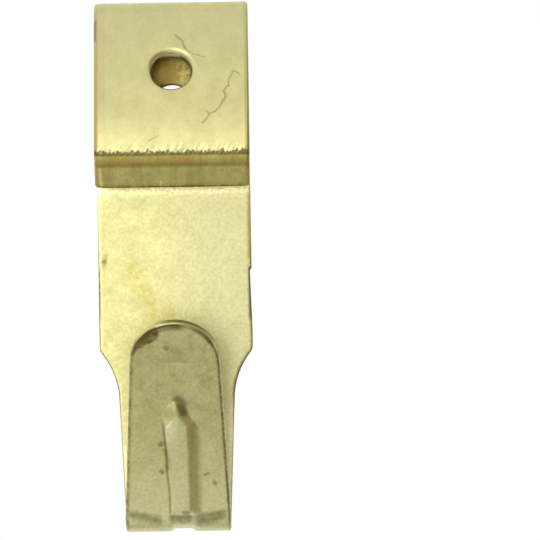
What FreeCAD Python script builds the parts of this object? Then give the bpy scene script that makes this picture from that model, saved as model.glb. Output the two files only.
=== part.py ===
import FreeCAD
import Part
import Sketcher
import math
import os
from FreeCAD import Vector

# Picture hook: one blanked, pierced and folded strip of plated sheet steel.
# The frame stands upright: +X to the right seen from the front, +Y into the wall, +Z up.
# The origin is the centre of the nail's exit hole, on the wall plane Y = 0.

# Driving dimensions in millimetres and degrees: name, value, meaning.
SIZES = [
    ("strip_width", 13.0, "width of the strip at the back plate, leaf and lip"),
    ("sheet_thickness", 1.1, "thickness of the sheet"),
    ("top_height", 8.66, "top of the upper fold above the exit hole"),
    ("bottom_depth", 36.18, "lowest point of the hook bend below the exit hole"),
    ("fold_inner_radius", 0.5, "inner radius of the upper fold"),
    ("leaf_slope", 24.0, "lean of the nail leaf off the wall"),
    ("leaf_length", 8.5, "flat run of the leaf below the fold"),
    ("crown_radius", 18.0, "gentle crown at the foot of the leaf"),
    ("crown_turn", 12.0, "turn of that crown"),
    ("lip_inner_radius", 0.7, "inner radius of the bend between leaf and lip"),
    ("lip_tuck", 30.0, "lean of the lip back towards the wall"),
    ("lip_length", 2.5, "flat run of the lip, the strip's free end"),
    ("lip_corner_radius", 0.6, "rounding of the free end's corners"),
    ("shoulder_depth", 20.84, "corner of the shoulders below the exit hole"),
    ("shoulder_corner_radius", 0.5, "rounding of that corner"),
    ("neck_depth", 24.85, "upper end of the neck below the exit hole"),
    ("neck_width", 9.8, "width of the neck at its upper end"),
    ("neck_taper", 2.4, "lean of each side of the neck"),
    ("hook_inner_radius", 0.5, "inner radius of the hook bend"),
    ("tongue_root_tilt", 15.0, "lean of the tongue where it leaves the hook bend"),
    ("tongue_tip_tilt", 32.0, "lean of the tongue at its tip"),
    ("tongue_rise", 18.06, "tip of the tongue above the lowest point"),
    ("tongue_taper", 2.8, "lean of each side of the tongue in its own plane"),
    ("leaf_hole_diameter", 3.36, "nail hole in the leaf"),
    ("leaf_hole_height", 2.83, "nail hole in the leaf above the exit hole"),
    ("exit_hole_diameter", 3.36, "nail hole in the back plate"),
    ("hole_roll", 0.35, "rounding of the leaf hole's front rim by the punch"),
    ("edge_roll", 0.28, "rounding of the blanked edges on the punch side"),
    ("rib_offset", 0.25, "crest of the pressed rib to the right of the tongue's centre"),
    ("rib_foot", 1.35, "lower end of the rib above the lowest point"),
    ("rib_foot_length", 0.5, "rise of the rib from its foot to full height"),
    ("rib_top", 11.4, "upper end of the rib above the lowest point"),
    ("rib_nose_length", 1.25, "run of the rib's round nose"),
    ("rib_facet_length", 1.7, "run over which the crest widens behind the nose"),
    ("rib_crest_width", 1.65, "width of the rib's crest"),
    ("rib_left_flank", 0.15, "run of the rib's steep left flank"),
    ("rib_right_flank", 0.5, "run of the rib's gentle right flank"),
    ("rib_height", 0.5, "height of the rib"),
    ("rib_hollow_width", 1.2, "width of the pressed hollow behind the rib"),
    ("rib_hollow_depth", 0.4, "depth of that hollow"),
    ("notch_width", 1.5, "width of the dip that the rib's pressing leaves under the hook bend"),
    ("notch_depth", 0.25, "depth of that dip"),
    ("notch_flank", 0.5, "run of each flank of that dip"),
    ("trim_depth", 13.9, "step of the trimmed right edge below the exit hole"),
    ("trim_length", 5.2, "run over which the trimmed edge comes back out"),
    ("trim_step", 0.15, "depth of that step"),
]

SHEET = "Sizes"

# Run of a cutting outline past the strip's edges, and of its depth past the sheet.
TOOL_RUN = 1.0
TOOL_DEPTH = 0.1
# Height at which the pressed rib starts out of the sheet.
RIB_START = 0.03
# Share of the sheet's thickness by which the rib's root lies inside the sheet.
RIB_ROOT_SHARE = 0.33
# Share of the rib's height that its round nose reaches before the crest's facet begins.
NOSE_SHARE = 0.8
# Share of the crest's width that is left at the nose.
NOSE_POINT_SHARE = 0.16
# Places along the round nose, as shares of its run from the tip.
NOSE_STATIONS = (1.0, 0.6, 0.3, 0.08)

# Values worked out from the driving dimensions, as expressions on the sheet.
THICKNESS = f"{SHEET}.sheet_thickness"
HALF_WIDTH = f"({SHEET}.strip_width / 2)"
FOLD_OUTER = f"({SHEET}.fold_inner_radius + {THICKNESS})"
HOOK_OUTER = f"({SHEET}.hook_inner_radius + {THICKNESS})"
LEAF_FOOT_SLOPE = f"({SHEET}.leaf_slope - {SHEET}.crown_turn)"
LEAF_FRONT_AT_HOLE = (
    f"({FOLD_OUTER} * (1 + cos({SHEET}.leaf_slope)) + tan({SHEET}.leaf_slope)"
    f" * ({SHEET}.top_height - {FOLD_OUTER} * (1 - sin({SHEET}.leaf_slope)) - {SHEET}.leaf_hole_height))"
)
TONGUE_TURN = f"({SHEET}.tongue_tip_tilt - {SHEET}.tongue_root_tilt)"
TONGUE_TILT = f"(({SHEET}.tongue_tip_tilt + {SHEET}.tongue_root_tilt) / 2)"
ROOT_RISE = f"({HOOK_OUTER} * (1 - sin({SHEET}.tongue_root_tilt)))"
ROOT_FRONT = f"({HOOK_OUTER} * (1 + cos({SHEET}.tongue_root_tilt)))"
TONGUE_CHORD = (
    f"(({SHEET}.tongue_rise - {ROOT_RISE} - {THICKNESS} * sin({TONGUE_TILT})) / cos({TONGUE_TILT}))"
)
TONGUE_FRONT_RADIUS = f"({TONGUE_CHORD} / 2 / sin({TONGUE_TURN} / 2))"
TONGUE_RADIUS = f"({TONGUE_FRONT_RADIUS} + {THICKNESS} / 2)"
TONGUE_BOW = f"({TONGUE_CHORD} / 2 * tan({TONGUE_TURN} / 4))"
RUN_ON_TURN = f"({TOOL_RUN} / {TONGUE_RADIUS} * 180 / pi)"
NECK_FOOT_HALF = (
    f"({SHEET}.neck_width / 2 - tan({SHEET}.neck_taper)"
    f" * ({SHEET}.bottom_depth + {TOOL_RUN} - {SHEET}.neck_depth))"
)
ROOT_HALF_WIDTH = (
    f"({SHEET}.neck_width / 2 - tan({SHEET}.neck_taper)"
    f" * ({SHEET}.bottom_depth - {ROOT_RISE} - {SHEET}.neck_depth))"
)

OUTSIDE = f"({HALF_WIDTH} + {TOOL_RUN})"
TONGUE_ROOT_LOW = f"({ROOT_HALF_WIDTH} + {TOOL_RUN} * tan({SHEET}.tongue_taper))"
TIP_RADIUS = (
    f"(({ROOT_HALF_WIDTH} * cos({SHEET}.tongue_taper) - {TONGUE_CHORD} * sin({SHEET}.tongue_taper))"
    f" / (1 - sin({SHEET}.tongue_taper)))"
)

# Numbers that a sketch gives to a line's or arc's first, last and centre points, and to its own origin.
FIRST, LAST, CENTRE = range(1, 4)
ORIGIN = (-1, 1)

# Points of the solid closer than this are the same point.
NEAR = 0.001


def add_sheet(doc):
    """Write the driving dimensions to a spreadsheet, one aliased cell each."""
    sheet = doc.addObject("Spreadsheet::Sheet", SHEET)
    for row, (name, value, meaning) in enumerate(SIZES, start=1):
        sheet.set(f"A{row}", meaning)
        sheet.set(f"B{row}", str(value))
        sheet.setAlias(f"B{row}", name)
    doc.recompute()
    return sheet


def polar(centre, radius, degrees):
    """Point on a circle in a sketch."""
    angle = math.radians(degrees)
    return centre + Vector(math.cos(angle), math.sin(angle), 0) * radius


def arc(centre, radius, start, end):
    """Counter-clockwise arc in a sketch, from one angle in degrees to another."""
    circle = Part.Circle(centre, Vector(0, 0, 1), radius)
    return Part.ArcOfCircle(circle, math.radians(start), math.radians(end))


class Modeller:
    """The body of the hook and the helpers that add its features."""

    def __init__(self, doc, label):
        self.doc = doc
        self.sheet = add_sheet(doc)
        self.body = doc.addObject("PartDesign::Body", label)
        self.body.Label = label

    def number(self, expression):
        """Value of an expression on the sheet."""
        return float(self.sheet.evalExpression(expression))

    def plane(self, role):
        """Origin plane of the body."""
        return [item for item in self.body.Origin.OriginFeatures if item.Role == role][0]

    def sketch(self, name, role, offset=(), tilt=None, hinge=Vector(1, 0, 0)):
        """Sketch on an origin plane, moved by expressions along its axes and tilted about its X axis."""
        sketch = self.body.newObject("Sketcher::SketchObject", name)
        sketch.AttachmentSupport = [(self.plane(role), "")]
        sketch.MapMode = "FlatFace"
        if tilt is not None:
            turn = FreeCAD.Rotation(hinge, self.number(tilt))
            sketch.AttachmentOffset = FreeCAD.Placement(Vector(0, 0, 0), turn)
            sketch.setExpression("AttachmentOffset.Rotation.Angle", tilt)
        for axis, expression in zip("xyz", offset):
            sketch.setExpression(f"AttachmentOffset.Base.{axis}", expression)
        return sketch

    def size(self, sketch, name, expression, kind, *items):
        """Dimension a sketch by an expression on the sheet."""
        value = self.number(expression)
        if kind == "Angle":
            value = math.radians(value)
        index = sketch.addConstraint(Sketcher.Constraint(kind, *items, value))
        sketch.renameConstraint(index, name)
        sketch.setExpression(f"Constraints.{name}", expression)

    def outline(self, sketch, points, arcs=()):
        """Closed chain of lines through the points; a pair of points in arcs has an arc of its own."""
        lines = []
        for index, start in enumerate(points):
            end = points[(index + 1) % len(points)]
            shape = dict(arcs).get(index) or Part.LineSegment(start, end)
            lines.append(sketch.addGeometry(shape))
        return lines

    def place(self, sketch, name, across, up, line, end):
        """Dimension one end of a line by its place in the sketch."""
        self.size(sketch, f"{name}_across", across, "DistanceX", *ORIGIN, line, end)
        self.size(sketch, f"{name}_up", up, "DistanceY", *ORIGIN, line, end)

    def polygon(self, sketch, corners):
        """Closed outline of straight lines, each corner placed by two expressions."""
        points = [Vector(self.number(across), self.number(up)) for across, up in corners.values()]
        lines = self.outline(sketch, points)
        for before, after in zip(lines, lines[1:] + lines[:1]):
            sketch.addConstraint(Sketcher.Constraint("Coincident", before, LAST, after, FIRST))
        for line, (name, (across, up)) in zip(lines, corners.items()):
            self.place(sketch, name, across, up, line, FIRST)

    def feature(self, kind, name, **links):
        """Add a PartDesign feature and set its plain properties."""
        feature = self.body.newObject(f"PartDesign::{kind}", name)
        for key, value in links.items():
            setattr(feature, key, value)
        return feature

    def cut(self, name, sketch, side, length=None, reverse=False):
        """Pocket that must take material away."""
        before = self.body.Shape.Volume
        kind = "ThroughAll" if length is None else "Length"
        pocket = self.feature("Pocket", name, Profile=sketch, SideType=side, Type=kind, Reversed=reverse)
        if length is not None:
            pocket.setExpression("Length", length)
        self.doc.recompute()
        if not self.body.Shape.Volume < before:
            raise RuntimeError(f"{name} cuts nothing")
        return pocket

    def round(self, name, radius, chosen):
        """Fillet the edges of the present solid that a test chooses."""
        tip = self.body.Tip
        names = [f"Edge{i}" for i, edge in enumerate(tip.Shape.Edges, start=1) if chosen(edge)]
        if not names:
            raise RuntimeError(f"{name} finds no edge")
        fillet = self.feature("Fillet", name, Base=(tip, names))
        fillet.setExpression("Radius", radius)
        self.doc.recompute()
        return fillet


def fold_path(model):
    """Middle line of the folded strip, from the lip's free end over the fold and down to the tongue."""
    size = model.number
    half = size(THICKNESS) / 2
    slope = size(f"{SHEET}.leaf_slope")
    foot = size(LEAF_FOOT_SLOPE)
    tuck = size(f"{SHEET}.lip_tuck")
    root = size(f"{SHEET}.tongue_root_tilt")
    tip = size(f"{SHEET}.tongue_tip_tilt")

    fold_radius = size(FOLD_OUTER) - half
    fold_centre = Vector(-size(FOLD_OUTER), size(f"{SHEET}.top_height") - size(FOLD_OUTER), 0)
    leaf_top = polar(fold_centre, fold_radius, 180 - slope)
    leaf_foot = leaf_top + polar(Vector(), size(f"{SHEET}.leaf_length"), 270 - slope)
    crown_radius = size(f"{SHEET}.crown_radius")
    crown_centre = leaf_foot + polar(Vector(), crown_radius, -slope)
    crown_end = polar(crown_centre, crown_radius, 180 - foot)
    lip_radius = size(f"{SHEET}.lip_inner_radius") + half
    lip_centre = crown_end + polar(Vector(), lip_radius, -foot)
    lip_top = polar(lip_centre, lip_radius, 180 + tuck)
    lip_end = lip_top + polar(Vector(), size(f"{SHEET}.lip_length"), 270 + tuck)
    plate_top = polar(fold_centre, fold_radius, 0)
    hook_radius = size(HOOK_OUTER) - half
    hook_centre = Vector(-size(HOOK_OUTER), size(HOOK_OUTER) - size(f"{SHEET}.bottom_depth"), 0)
    plate_foot = polar(hook_centre, hook_radius, 0)
    tongue_radius = size(TONGUE_RADIUS)
    tongue_root = polar(hook_centre, hook_radius, 180 + root)
    tongue_centre = tongue_root + polar(Vector(), tongue_radius, 180 + root)

    path = model.sketch("fold_path", "YZ_Plane")
    lip = path.addGeometry(Part.LineSegment(lip_end, lip_top))
    lip_bend = path.addGeometry(arc(lip_centre, lip_radius, 180 - foot, 180 + tuck))
    crown = path.addGeometry(arc(crown_centre, crown_radius, 180 - slope, 180 - foot))
    leaf = path.addGeometry(Part.LineSegment(leaf_foot, leaf_top))
    fold = path.addGeometry(arc(fold_centre, fold_radius, 0, 180 - slope))
    plate = path.addGeometry(Part.LineSegment(plate_top, plate_foot))
    hook_bend = path.addGeometry(arc(hook_centre, hook_radius, 180 + root, 360))
    tongue = path.addGeometry(arc(tongue_centre, tongue_radius, root, tip + size(RUN_ON_TURN)))

    joints = [
        (lip, LAST, lip_bend, LAST),
        (lip_bend, FIRST, crown, LAST),
        (crown, FIRST, leaf, FIRST),
        (leaf, LAST, fold, LAST),
        (fold, FIRST, plate, FIRST),
        (plate, LAST, hook_bend, LAST),
        (hook_bend, FIRST, tongue, FIRST),
    ]
    for joint in joints:
        path.addConstraint(Sketcher.Constraint("Tangent", *joint))
    path.addConstraint(Sketcher.Constraint("Vertical", plate))
    model.size(path, "plate_middle", f"{THICKNESS} / 2", "DistanceX", plate, FIRST, *ORIGIN)
    plate_rise = f"{SHEET}.top_height - {FOLD_OUTER}"
    plate_drop = f"{SHEET}.bottom_depth - {HOOK_OUTER}"
    model.size(path, "plate_top", plate_rise, "DistanceY", *ORIGIN, plate, FIRST)
    model.size(path, "plate_foot", plate_drop, "DistanceY", plate, LAST, *ORIGIN)
    model.size(path, "fold_radius", f"{FOLD_OUTER} - {THICKNESS} / 2", "Radius", fold)
    model.size(path, "fold_turn", f"180 - {SHEET}.leaf_slope", "Angle", fold)
    model.size(path, "leaf_run", f"{SHEET}.leaf_length", "Distance", leaf)
    model.size(path, "crown_bend", f"{SHEET}.crown_radius", "Radius", crown)
    model.size(path, "crown_turn", f"{SHEET}.crown_turn", "Angle", crown)
    model.size(path, "lip_bend", f"{SHEET}.lip_inner_radius + {THICKNESS} / 2", "Radius", lip_bend)
    model.size(path, "lip_turn", f"{LEAF_FOOT_SLOPE} + {SHEET}.lip_tuck", "Angle", lip_bend)
    model.size(path, "lip_run", f"{SHEET}.lip_length", "Distance", lip)
    model.size(path, "hook_bend", f"{HOOK_OUTER} - {THICKNESS} / 2", "Radius", hook_bend)
    model.size(path, "hook_turn", f"180 - {SHEET}.tongue_root_tilt", "Angle", hook_bend)
    model.size(path, "tongue_bow", TONGUE_RADIUS, "Radius", tongue)
    model.size(path, "tongue_turn", f"{TONGUE_TURN} + {RUN_ON_TURN}", "Angle", tongue)
    model.doc.recompute()
    return path


def folded_strip(model, path):
    """Sweep the strip's rectangular section along the fold path, from the lip's free end."""
    section = model.body.newObject("Sketcher::SketchObject", "strip_section")
    section.AttachmentSupport = [(path, "Edge1"), (path, "Vertex1")]
    section.MapMode = "NormalToEdge"
    wide = model.number(HALF_WIDTH)
    thick = model.number(THICKNESS) / 2
    corners = [Vector(-wide, -thick), Vector(wide, -thick), Vector(wide, thick), Vector(-wide, thick)]
    low, right, high, left = model.outline(section, corners)
    for before, after in [(low, right), (right, high), (high, left), (left, low)]:
        section.addConstraint(Sketcher.Constraint("Coincident", before, LAST, after, FIRST))
    for line, kind in [(low, "Horizontal"), (high, "Horizontal"), (left, "Vertical"), (right, "Vertical")]:
        section.addConstraint(Sketcher.Constraint(kind, line))
    section.addConstraint(Sketcher.Constraint("Symmetric", low, FIRST, high, FIRST, *ORIGIN))
    model.size(section, "strip_width", f"{SHEET}.strip_width", "Distance", low)
    model.size(section, "sheet_thickness", THICKNESS, "Distance", right)
    model.feature("AdditivePipe", "folded_strip", Profile=section, Spine=path)
    model.doc.recompute()


def shoulders_and_neck(model):
    """Trim the strip below the shoulders to the tapering neck, on the right and mirrored."""
    size = model.number
    edge = size(HALF_WIDTH)
    outside = edge + size(f"{TOOL_RUN}")
    shoulder = Vector(edge, -size(f"{SHEET}.shoulder_depth"))
    neck_top = Vector(size(f"{SHEET}.neck_width") / 2, -size(f"{SHEET}.neck_depth"))
    taper = size(f"{SHEET}.neck_taper")
    below = -size(f"{SHEET}.bottom_depth") - size(f"{TOOL_RUN}")
    neck_foot = Vector(neck_top.x + (below - neck_top.y) * math.tan(math.radians(taper)), below)
    low_corner = Vector(outside, below)
    high_corner = Vector(outside, shoulder.y)
    across = (shoulder - neck_top)
    facing = polar(Vector(), 1, -taper)
    radius = across.dot(across) / 2 / across.dot(facing)
    centre = neck_top + facing * radius
    start = math.degrees(math.atan2(shoulder.y - centre.y, shoulder.x - centre.x))
    sweep = arc(centre, radius, start, 180 - taper)

    sketch = model.sketch("neck_outline", "XZ_Plane")
    corners = [shoulder, neck_top, neck_foot, low_corner, high_corner]
    hollow, side, low, outer, high = model.outline(sketch, corners, [(0, sweep)])
    sketch.addConstraint(Sketcher.Constraint("Tangent", hollow, LAST, side, FIRST))
    for before, after in [(side, low), (low, outer), (outer, high)]:
        sketch.addConstraint(Sketcher.Constraint("Coincident", before, LAST, after, FIRST))
    sketch.addConstraint(Sketcher.Constraint("Coincident", high, LAST, hollow, FIRST))
    sketch.addConstraint(Sketcher.Constraint("Horizontal", low))
    sketch.addConstraint(Sketcher.Constraint("Vertical", outer))
    sketch.addConstraint(Sketcher.Constraint("Horizontal", high))
    model.size(sketch, "edge", HALF_WIDTH, "DistanceX", *ORIGIN, hollow, FIRST)
    model.size(sketch, "shoulder", f"{SHEET}.shoulder_depth", "DistanceY", hollow, FIRST, *ORIGIN)
    model.size(sketch, "neck", f"{SHEET}.neck_width / 2", "DistanceX", *ORIGIN, side, FIRST)
    model.size(sketch, "neck_top", f"{SHEET}.neck_depth", "DistanceY", side, FIRST, *ORIGIN)
    model.size(sketch, "neck_foot", NECK_FOOT_HALF, "DistanceX", *ORIGIN, side, LAST)
    model.size(sketch, "below", f"{SHEET}.bottom_depth + {TOOL_RUN}", "DistanceY", low, FIRST, *ORIGIN)
    model.size(sketch, "outside", f"{HALF_WIDTH} + {TOOL_RUN}", "DistanceX", *ORIGIN, outer, FIRST)
    model.doc.recompute()
    neck = model.cut("right_neck_cut", sketch, "Symmetric")
    model.feature("Mirrored", "neck_cut", Originals=[neck], MirrorPlane=(model.plane("YZ_Plane"), [""]))
    model.body.Tip = model.doc.getObject("neck_cut")
    model.doc.recompute()


def tongue_outline(model):
    """Trim the tongue, in its own plane, to tapering sides and a full round tip."""
    size = model.number
    taper = size(f"{SHEET}.tongue_taper")
    below = -size(f"{TOOL_RUN}")
    above = size(TONGUE_CHORD) + 2 * size(f"{TOOL_RUN}")
    outside = size(HALF_WIDTH) + size(f"{TOOL_RUN}")
    root = size(TONGUE_ROOT_LOW)
    radius = size(TIP_RADIUS)
    centre = Vector(0, size(TONGUE_CHORD) - radius)
    corners = [
        Vector(root, below),
        polar(centre, radius, taper),
        polar(centre, radius, 180 - taper),
        Vector(-root, below),
        Vector(-outside, below),
        Vector(-outside, above),
        Vector(outside, above),
        Vector(outside, below),
    ]
    height = f"-{SHEET}.bottom_depth + {ROOT_RISE}"
    sketch = model.sketch("tongue_outline", "XZ_Plane", ("0", height, ROOT_FRONT), TONGUE_TILT)
    lines = model.outline(sketch, corners, [(1, arc(centre, radius, taper, 180 - taper))])
    right, tip, left, low_left, outer_left, top, outer_right, low_right = lines
    sketch.addConstraint(Sketcher.Constraint("Tangent", right, LAST, tip, FIRST))
    sketch.addConstraint(Sketcher.Constraint("Tangent", tip, LAST, left, FIRST))
    for before, after in zip(lines[2:], lines[3:] + lines[:1]):
        sketch.addConstraint(Sketcher.Constraint("Coincident", before, LAST, after, FIRST))
    for line in (low_left, top, low_right):
        sketch.addConstraint(Sketcher.Constraint("Horizontal", line))
    for line in (outer_left, outer_right):
        sketch.addConstraint(Sketcher.Constraint("Vertical", line))
    model.size(sketch, "tip_radius", TIP_RADIUS, "Radius", tip)
    model.place(sketch, "tip_centre", "0", f"{TONGUE_CHORD} - {TIP_RADIUS}", tip, CENTRE)
    model.place(sketch, "root_right", TONGUE_ROOT_LOW, f"-{TOOL_RUN}", right, FIRST)
    model.place(sketch, "root_left", f"-{TONGUE_ROOT_LOW}", f"-{TOOL_RUN}", left, LAST)
    model.size(sketch, "left_edge", f"-{OUTSIDE}", "DistanceX", *ORIGIN, outer_left, FIRST)
    model.place(sketch, "corner", OUTSIDE, f"{TONGUE_CHORD} + 2 * {TOOL_RUN}", top, LAST)
    model.doc.recompute()
    model.cut("tongue_cut", sketch, "Symmetric", f"2 * ({THICKNESS} + {TONGUE_BOW} + {TOOL_DEPTH})")


def nail_holes(model):
    """Pierce the leaf square to its own face, and the back plate square to the wall."""
    centre = Part.Circle(Vector(), Vector(0, 0, 1), 1)
    place = ("0", f"{SHEET}.leaf_hole_height", LEAF_FRONT_AT_HOLE)
    leaf = model.sketch("leaf_hole_circle", "XZ_Plane", place, f"{SHEET}.leaf_slope", Vector(-1, 0, 0))
    plate = model.sketch("exit_hole_circle", "XZ_Plane")
    depth = f"{THICKNESS} + {TOOL_DEPTH}"
    holes = [("leaf_hole", leaf, depth, False), ("exit_hole", plate, depth, True)]
    for name, sketch, length, reverse in holes:
        circle = sketch.addGeometry(centre)
        sketch.addConstraint(Sketcher.Constraint("Coincident", circle, CENTRE, *ORIGIN))
        model.size(sketch, "diameter", f"{SHEET}.{name}_diameter", "Diameter", circle)
        model.doc.recompute()
        model.cut(name, sketch, "One side", length, reverse)


def spots_on(edge):
    """Five points spread along an edge."""
    low, high = edge.ParameterRange
    return [edge.valueAt(low + (high - low) * step / 4) for step in range(5)]


def round_corners(model):
    """Round the free end's two corners and the two shoulder corners, seen square to the sheet."""
    half = model.number(HALF_WIDTH)
    shoulder = -model.number(f"{SHEET}.shoulder_depth")
    lip_end = model.doc.getObject("strip_section").Placement.Base
    thickness = model.number(THICKNESS)

    def on_side(point):
        return abs(abs(point.x) - half) < NEAR

    def at_lip_end(edge):
        reach = [Vector(0, point.y, point.z).distanceToPoint(lip_end) for point in spots_on(edge)]
        return all(map(on_side, spots_on(edge))) and max(reach) < thickness / 2 + NEAR

    def at_shoulder(edge):
        return all(on_side(point) and abs(point.z - shoulder) < NEAR for point in spots_on(edge))

    model.round("lip_corners", f"{SHEET}.lip_corner_radius", at_lip_end)
    model.round("shoulder_corners", f"{SHEET}.shoulder_corner_radius", at_shoulder)


def roll_edges(model, path):
    """Round the blanked edges on the punch side, which is the outside of every fold."""
    thickness = model.number(THICKNESS)
    middle = path.Shape.copy()
    ends = Part.Wire(middle.Edges).OrderedVertexes
    mouth = Part.LineSegment(ends[0].Point, ends[-1].Point).toShape()
    inner_side = Part.Face(Part.Wire(Part.__sortEdges__(middle.Edges + [mouth])))

    def on_surface(spot):
        return abs(middle.distToShape(Part.Vertex(spot))[0] - thickness / 2) < NEAR

    def on_punch_side(edge):
        spots = [Vector(0, point.y, point.z) for point in spots_on(edge)]
        along_fold = max(spot.distanceToPoint(spots[0]) for spot in spots) < NEAR
        if along_fold or not all(map(on_surface, spots)):
            return False
        return not any(inner_side.isInside(spot, NEAR, True) for spot in spots)

    def round_hole(edge):
        return type(edge.Curve) is Part.Circle and edge.Closed

    def rim(edge):
        return round_hole(edge) and on_punch_side(edge) and edge.BoundBox.YMax < -thickness

    def border(edge):
        return on_punch_side(edge) and not round_hole(edge)

    model.round("leaf_hole_roll", f"{SHEET}.hole_roll", rim)
    model.round("edge_roll", f"{SHEET}.edge_roll", border)


def rib_section(model, name, rise, root, crest, depth="0"):
    """Four-sided section across the tongue, at a rise above the lowest point and a depth in the sheet.

    Root and crest each give the section's left edge, right edge and height out of its surface.
    """
    lean = f"asin(sin({SHEET}.tongue_root_tilt) + ({rise} - {ROOT_RISE}) / {TONGUE_FRONT_RADIUS})"
    swing = f"{TONGUE_FRONT_RADIUS} * (cos({lean}) - cos({SHEET}.tongue_root_tilt))"
    into = f"-{ROOT_FRONT} + {swing} + {depth} * cos({lean})"
    up = f"-{SHEET}.bottom_depth + {rise} + {depth} * sin({lean})"
    sketch = model.sketch(name, "XY_Plane", (f"{SHEET}.rib_offset", into, up), lean)
    root_left, root_right, root_height = root
    crest_left, crest_right, crest_height = crest
    corners = {
        "root_left": (f"-({root_left})", f"-({root_height})"),
        "root_right": (root_right, f"-({root_height})"),
        "crest_right": (crest_right, f"-({crest_height})"),
        "crest_left": (f"-({crest_left})", f"-({crest_height})"),
    }
    model.polygon(sketch, corners)
    return sketch


def pressed_rib(model):
    """Stiffening rib pressed forward out of the tongue, with a bullet nose and a faceted crest."""
    half = f"{SHEET}.rib_crest_width / 2"
    left = f"({half} + {SHEET}.rib_left_flank)"
    right = f"({half} + {SHEET}.rib_right_flank)"
    height = f"{SHEET}.rib_height"
    inside = f"-{THICKNESS} * {RIB_ROOT_SHARE}"
    run_start = f"({SHEET}.rib_foot + {SHEET}.rib_foot_length)"
    nose_foot = f"({SHEET}.rib_top - {SHEET}.rib_nose_length)"
    run_end = f"({nose_foot} - {SHEET}.rib_facet_length)"
    run_middle = f"(({run_start} + {run_end}) / 2)"

    stations = [("rib_foot_section", f"{SHEET}.rib_foot", RIB_START)]
    stations.append(("rib_start_section", run_start, height))
    stations.append(("rib_middle_section", run_middle, height))
    stations.append(("rib_end_section", run_end, height))
    sections = []
    for name, rise, crest in stations:
        sections.append(rib_section(model, name, rise, (left, right, inside), (half, half, crest)))
    for index, share in enumerate(NOSE_STATIONS, start=1):
        spread = math.sqrt(1 - (1 - share) ** 2)
        point = f"{half} * {spread * NOSE_POINT_SHARE}"
        root = (f"{left} * {spread}", f"{right} * {spread}", inside)
        crest = (point, point, f"{height} * {NOSE_SHARE * share}")
        rise = f"({SHEET}.rib_top - {SHEET}.rib_nose_length * {share})"
        sections.append(rib_section(model, f"rib_nose_section_{index}", rise, root, crest))
    model.doc.recompute()
    model.feature("AdditiveLoft", "rib", Profile=sections[0], Sections=sections[1:], Ruled=True)
    model.doc.recompute()


def rib_hollow(model):
    """Hollow that the press leaves in the back of the tongue, behind the rib."""
    mouth = f"{SHEET}.rib_hollow_width / 2"
    floor = f"{mouth} - {SHEET}.rib_left_flank"
    depth = f"{SHEET}.rib_hollow_depth"
    start = f"({SHEET}.rib_foot + {SHEET}.rib_foot_length)"
    end = f"({SHEET}.rib_top - {SHEET}.rib_nose_length)"
    stations = [
        ("hollow_foot_section", start, RIB_START),
        ("hollow_start_section", f"({start} + {SHEET}.rib_foot_length)", depth),
        ("hollow_middle_section", f"(({start} + {end}) / 2)", depth),
        ("hollow_end_section", f"({end} - {SHEET}.rib_facet_length)", depth),
        ("hollow_nose_section", end, RIB_START),
    ]
    sections = []
    for name, rise, crest in stations:
        root = (mouth, mouth, f"-{TOOL_DEPTH}")
        sections.append(rib_section(model, name, rise, root, (floor, floor, crest), THICKNESS))
    model.doc.recompute()
    before = model.body.Shape.Volume
    model.feature("SubtractiveLoft", "rib_hollow", Profile=sections[0], Sections=sections[1:], Ruled=True)
    model.doc.recompute()
    if not model.body.Shape.Volume < before:
        raise RuntimeError("rib_hollow cuts nothing")


def press_dip(model):
    """Shallow dip under the hook bend, where the rib's pressing draws the sheet in."""
    half = f"{SHEET}.notch_width / 2"
    mouth = f"{half} + {SHEET}.notch_flank"
    bottom = f"-{SHEET}.bottom_depth"
    corners = {
        "mouth_left": (f"-({mouth})", bottom),
        "below_left": (f"-({mouth})", f"{bottom} - {TOOL_RUN}"),
        "below_right": (mouth, f"{bottom} - {TOOL_RUN}"),
        "mouth_right": (mouth, bottom),
        "roof_right": (half, f"{bottom} + {SHEET}.notch_depth"),
        "roof_left": (f"-{half}", f"{bottom} + {SHEET}.notch_depth"),
    }
    sketch = model.sketch("press_dip_outline", "XZ_Plane", (f"{SHEET}.rib_offset", "0", "0"))
    model.polygon(sketch, corners)
    model.doc.recompute()
    model.cut("press_dip", sketch, "Symmetric")


def trimmed_edge(model):
    """Small step in the right edge, where the second trimming cut begins."""
    start = f"-{SHEET}.trim_depth"
    finish = f"-({SHEET}.trim_depth + {SHEET}.trim_length)"
    corners = {
        "step": (f"{HALF_WIDTH} - {SHEET}.trim_step", start),
        "return": (HALF_WIDTH, finish),
        "outer_low": (OUTSIDE, finish),
        "outer_high": (OUTSIDE, start),
    }
    sketch = model.sketch("trim_outline", "XZ_Plane")
    model.polygon(sketch, corners)
    model.doc.recompute()
    model.cut("trimmed_edge", sketch, "Symmetric")


def check(model):
    """Stop if any object failed or the body isn't one valid solid."""
    for item in model.doc.Objects:
        if "Invalid" in item.State or "Error" in item.State:
            raise RuntimeError(f"{item.Label} failed: {item.State}")
    shape = model.body.Shape
    if shape.isNull() or not shape.isValid() or len(shape.Solids) != 1:
        raise RuntimeError(f"{model.body.Label} isn't one valid solid")


def main():
    """Fold the strip, trim and pierce it, roll its edges, press the rib and write the solid."""
    model = Modeller(FreeCAD.newDocument("hook_model"), "picture_hook")
    path = fold_path(model)
    folded_strip(model, path)
    shoulders_and_neck(model)
    tongue_outline(model)
    nail_holes(model)
    round_corners(model)
    roll_edges(model, path)
    pressed_rib(model)
    rib_hollow(model)
    press_dip(model)
    trimmed_edge(model)
    model.body.Placement = FreeCAD.Placement(Vector(0, 0, 0), FreeCAD.Rotation())
    model.doc.recompute()
    check(model)
    os.makedirs("parts", exist_ok=True)
    model.body.Shape.exportStep(f"parts/{model.body.Label}.step")
    print(f"{model.body.Label}: {model.body.Shape.Volume:.1f} mm3")


main()
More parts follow.
